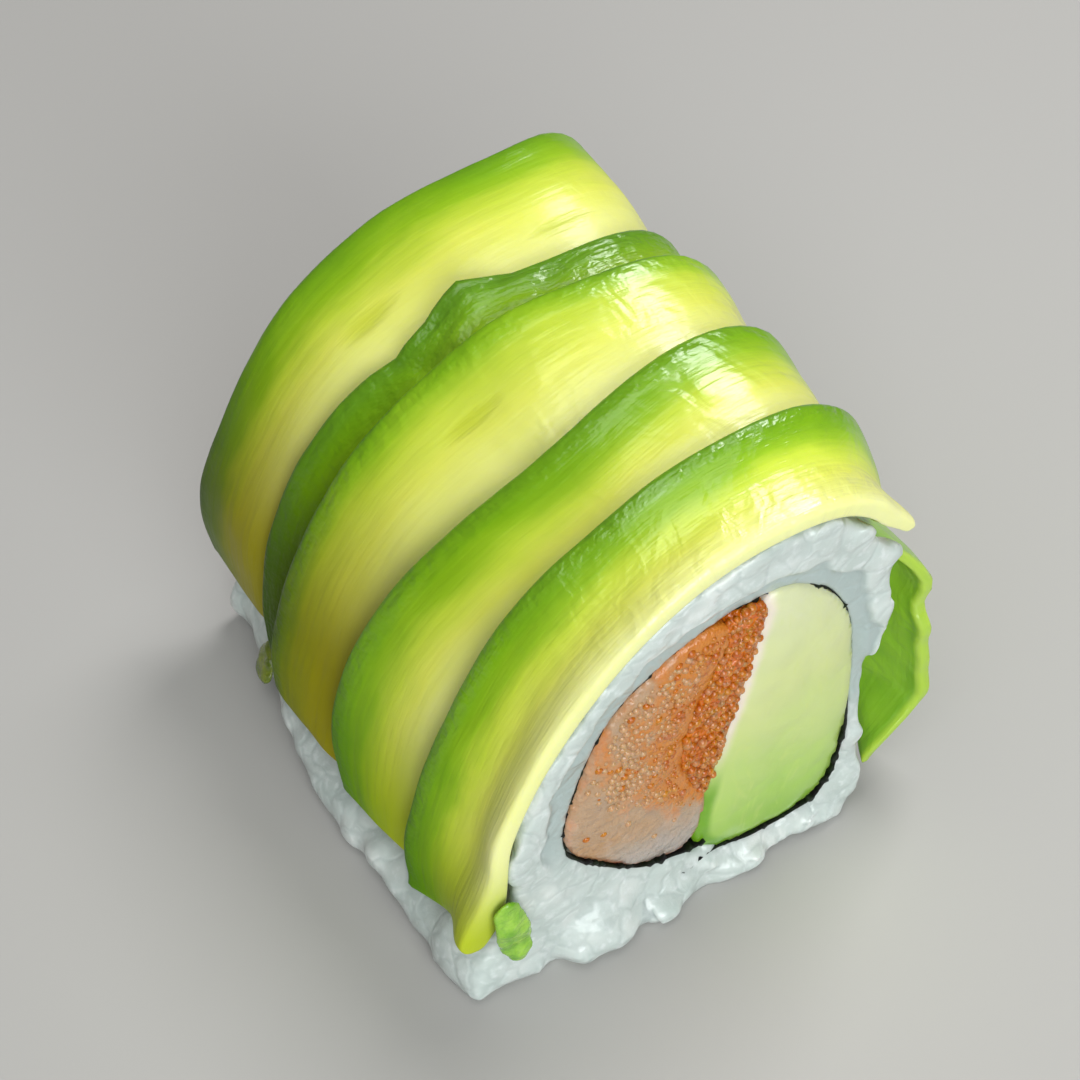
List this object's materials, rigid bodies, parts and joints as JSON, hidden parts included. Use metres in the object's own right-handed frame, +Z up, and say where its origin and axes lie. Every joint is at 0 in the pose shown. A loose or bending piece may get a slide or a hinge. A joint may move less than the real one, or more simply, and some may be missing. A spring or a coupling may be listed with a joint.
{
  "type": "uramaki roll",
  "caption": "Inside-out sushi piece: rice round seaweed, prawn, orange roe and avocado, with overlapping avocado slices draped over the top.",
  "frame": {"origin": "middle of the flat underside that the piece rests on", "axes": "+Z up, +Y along the roll from the front cut face to the back one, +X across it to the right"},
  "size_m": [0.0484, 0.0509, 0.0477],
  "materials": {
    "rice": "moist, slightly translucent white rice",
    "nori": "dark green-black seaweed sheet, slightly damp",
    "prawn": "moist pink-brown prawn flesh",
    "roe": "wet orange fish roe",
    "avocado_flesh": "moist pale green avocado flesh",
    "avocado_skin_side": "moist avocado, green at the skin side to yellow inside"
  },
  "bodies": {
    "root": {"rice": "rice", "nori": "nori", "prawn": "prawn", "roe": "roe", "avocado_filling": "avocado_flesh", "avocado_slice_1": "avocado_skin_side", "avocado_slice_2": "avocado_skin_side", "avocado_slice_3": "avocado_skin_side", "avocado_slice_4": "avocado_skin_side", "avocado_slice_5": "avocado_skin_side", "avocado_crumb_front": "avocado_skin_side", "avocado_crumb_side": "avocado_skin_side"}
  },
  "joints": []
}
